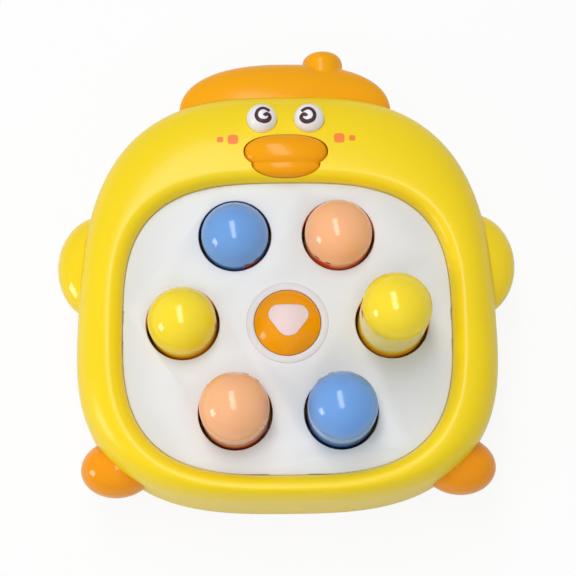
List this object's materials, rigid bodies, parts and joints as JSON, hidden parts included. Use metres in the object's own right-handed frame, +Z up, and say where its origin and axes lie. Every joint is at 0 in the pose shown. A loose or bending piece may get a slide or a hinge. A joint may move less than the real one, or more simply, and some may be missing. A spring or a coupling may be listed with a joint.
{
  "type": "electronic pop-up mole game",
  "caption": "Toddlers' electronic pop-up game in the shape of a duck: domed moles rise through a white deck and are pressed down, round a lit centre button.",
  "frame": {"origin": "middle of the game's bounding box, on the flat back that it lies on", "axes": "+Z up out of the face, +Y towards the hat, +X to the player's right"},
  "size_m": [0.2576, 0.2652, 0.1234],
  "materials": {
    "body_yellow": "satin moulded ABS",
    "trim_orange": "glossy moulded ABS",
    "button_orange": "glossy moulded ABS",
    "panel_white": "fine satin moulded ABS",
    "icon_pink": "milky light window",
    "eye_white": "glossy moulded ABS with printed spirals",
    "yellow": "high gloss moulded ABS",
    "peach": "high gloss moulded ABS",
    "blue": "high gloss moulded ABS",
    "lifter_white": "natural acetal",
    "gear_nylon": "natural nylon",
    "spring_steel": "bright spring wire and plate",
    "steel": "zinc plated",
    "board_green": "solder mask",
    "silicone_grey": "soft silicone",
    "black_plastic": "fine matt",
    "speaker_black": "paper cone and painted frame",
    "cell_wrap": "plain printed wrap"
  },
  "bodies": {
    "shell": {"front_bezel": "body_yellow", "rear_shell": "body_yellow", "game_deck": "panel_white", "hat": "trim_orange", "left_wing": "body_yellow", "right_wing": "body_yellow", "left_foot": "trim_orange", "right_foot": "trim_orange", "left_eye": "eye_white", "right_eye": "eye_white", "beak_board": "board_green", "beak_dome": "silicone_grey", "main_board": "board_green", "centre_dome": "silicone_grey", "gear_axle": "steel", "gearbox_plate": "black_plastic", "drive_motor": "steel", "speaker": "speaker_black", "power_switch": "steel", "battery_cell_1": "cell_wrap", "battery_cell_2": "cell_wrap", "battery_cell_3": "cell_wrap", "contact_plate_left": "spring_steel", "contact_plate_right": "spring_steel", "battery_door": "body_yellow", "door_screw": "steel", "case_screw_top_left": "steel", "case_screw_top_right": "steel", "case_screw_bottom_left": "steel", "case_screw_bottom_right": "steel"},
    "beak": {"beak_key": "trim_orange"},
    "button": {"centre_button": "button_orange", "button_icon": "icon_pink"},
    "wheel": {"track_wheel": "gear_nylon"},
    "gear": {"reduction_gear": "gear_nylon"},
    "motor_drive": {"motor_pinion": "gear_nylon", "motor_shaft": "steel"},
    "slider": {"power_slider": "black_plastic"},
    "carrier_right": {"lifter_right": "lifter_white", "spring_right": "spring_steel"},
    "cap_right": {"mole_right": "yellow"},
    "carrier_top_right": {"lifter_top_right": "lifter_white", "spring_top_right": "spring_steel"},
    "cap_top_right": {"mole_top_right": "peach"},
    "carrier_top_left": {"lifter_top_left": "lifter_white", "spring_top_left": "spring_steel"},
    "cap_top_left": {"mole_top_left": "blue"},
    "carrier_left": {"lifter_left": "lifter_white", "spring_left": "spring_steel"},
    "cap_left": {"mole_left": "yellow"},
    "carrier_bottom_left": {"lifter_bottom_left": "lifter_white", "spring_bottom_left": "spring_steel"},
    "cap_bottom_left": {"mole_bottom_left": "peach"},
    "carrier_bottom_right": {"lifter_bottom_right": "lifter_white", "spring_bottom_right": "spring_steel"},
    "cap_bottom_right": {"mole_bottom_right": "blue"}
  },
  "joints": [
    {"name": "beak_press", "type": "slide", "parent": "shell", "child": "beak", "axis": [0, 0, 1], "range_m": [-0.002, 0], "stiffness_N_per_m": 400, "springref_m": 0.003, "deforming": ["beak_dome"]},
    {"name": "centre_press", "type": "slide", "parent": "shell", "child": "button", "axis": [0, 0, 1], "range_m": [-0.0018, 0], "stiffness_N_per_m": 400, "springref_m": 0.003, "deforming": ["centre_dome"]},
    {"name": "wheel_turn", "type": "hinge", "parent": "shell", "child": "wheel", "pos_m": [0, -0.03405, 0.005], "axis": [0, 0, 1], "range_deg": [-3, 3]},
    {"name": "gear_turn", "type": "hinge", "parent": "shell", "child": "gear", "pos_m": [0, -0.11105, 0.01], "axis": [0, 0, 1], "range_deg": [-18, 18]},
    {"name": "motor_turn", "type": "hinge", "parent": "shell", "child": "motor_drive", "pos_m": [0.01819, -0.11525, 0.012], "axis": [0, 0, 1], "range_deg": [-54, 54]},
    {"name": "power_slide", "type": "slide", "parent": "shell", "child": "slider", "axis": [1, 0, 0], "range_m": [0, 0.003]},
    {"name": "lift_right", "type": "slide", "parent": "shell", "child": "carrier_right", "axis": [0, 0, 1], "range_m": [0, 0.001]},
    {"name": "press_right", "type": "slide", "parent": "carrier_right", "child": "cap_right", "axis": [0, 0, 1], "range_m": [-0.006, 0], "stiffness_N_per_m": 250, "springref_m": 0.005, "deforming": ["spring_right"]},
    {"name": "lift_top_right", "type": "slide", "parent": "shell", "child": "carrier_top_right", "axis": [0, 0, 1], "range_m": [0, 0.0327]},
    {"name": "press_top_right", "type": "slide", "parent": "carrier_top_right", "child": "cap_top_right", "axis": [0, 0, 1], "range_m": [-0.006, 0], "stiffness_N_per_m": 250, "springref_m": 0.005, "deforming": ["spring_top_right"]},
    {"name": "lift_top_left", "type": "slide", "parent": "shell", "child": "carrier_top_left", "axis": [0, 0, 1], "range_m": [0, 0.0356]},
    {"name": "press_top_left", "type": "slide", "parent": "carrier_top_left", "child": "cap_top_left", "axis": [0, 0, 1], "range_m": [-0.006, 0], "stiffness_N_per_m": 250, "springref_m": 0.005, "deforming": ["spring_top_left"]},
    {"name": "lift_left", "type": "slide", "parent": "shell", "child": "carrier_left", "axis": [0, 0, 1], "range_m": [0, 0.0288]},
    {"name": "press_left", "type": "slide", "parent": "carrier_left", "child": "cap_left", "axis": [0, 0, 1], "range_m": [-0.006, 0], "stiffness_N_per_m": 250, "springref_m": 0.005, "deforming": ["spring_left"]},
    {"name": "lift_bottom_left", "type": "slide", "parent": "shell", "child": "carrier_bottom_left", "axis": [0, 0, 1], "range_m": [0, 0.0166]},
    {"name": "press_bottom_left", "type": "slide", "parent": "carrier_bottom_left", "child": "cap_bottom_left", "axis": [0, 0, 1], "range_m": [-0.006, 0], "stiffness_N_per_m": 250, "springref_m": 0.005, "deforming": ["spring_bottom_left"]},
    {"name": "lift_bottom_right", "type": "slide", "parent": "shell", "child": "carrier_bottom_right", "axis": [0, 0, 1], "range_m": [0, 0.0166]},
    {"name": "press_bottom_right", "type": "slide", "parent": "carrier_bottom_right", "child": "cap_bottom_right", "axis": [0, 0, 1], "range_m": [-0.006, 0], "stiffness_N_per_m": 250, "springref_m": 0.005, "deforming": ["spring_bottom_right"]}
  ],
  "couplings": [
    {"joint": "gear_turn", "follows": "wheel_turn", "ratio": -6},
    {"joint": "motor_turn", "follows": "wheel_turn", "ratio": 18}
  ]
}
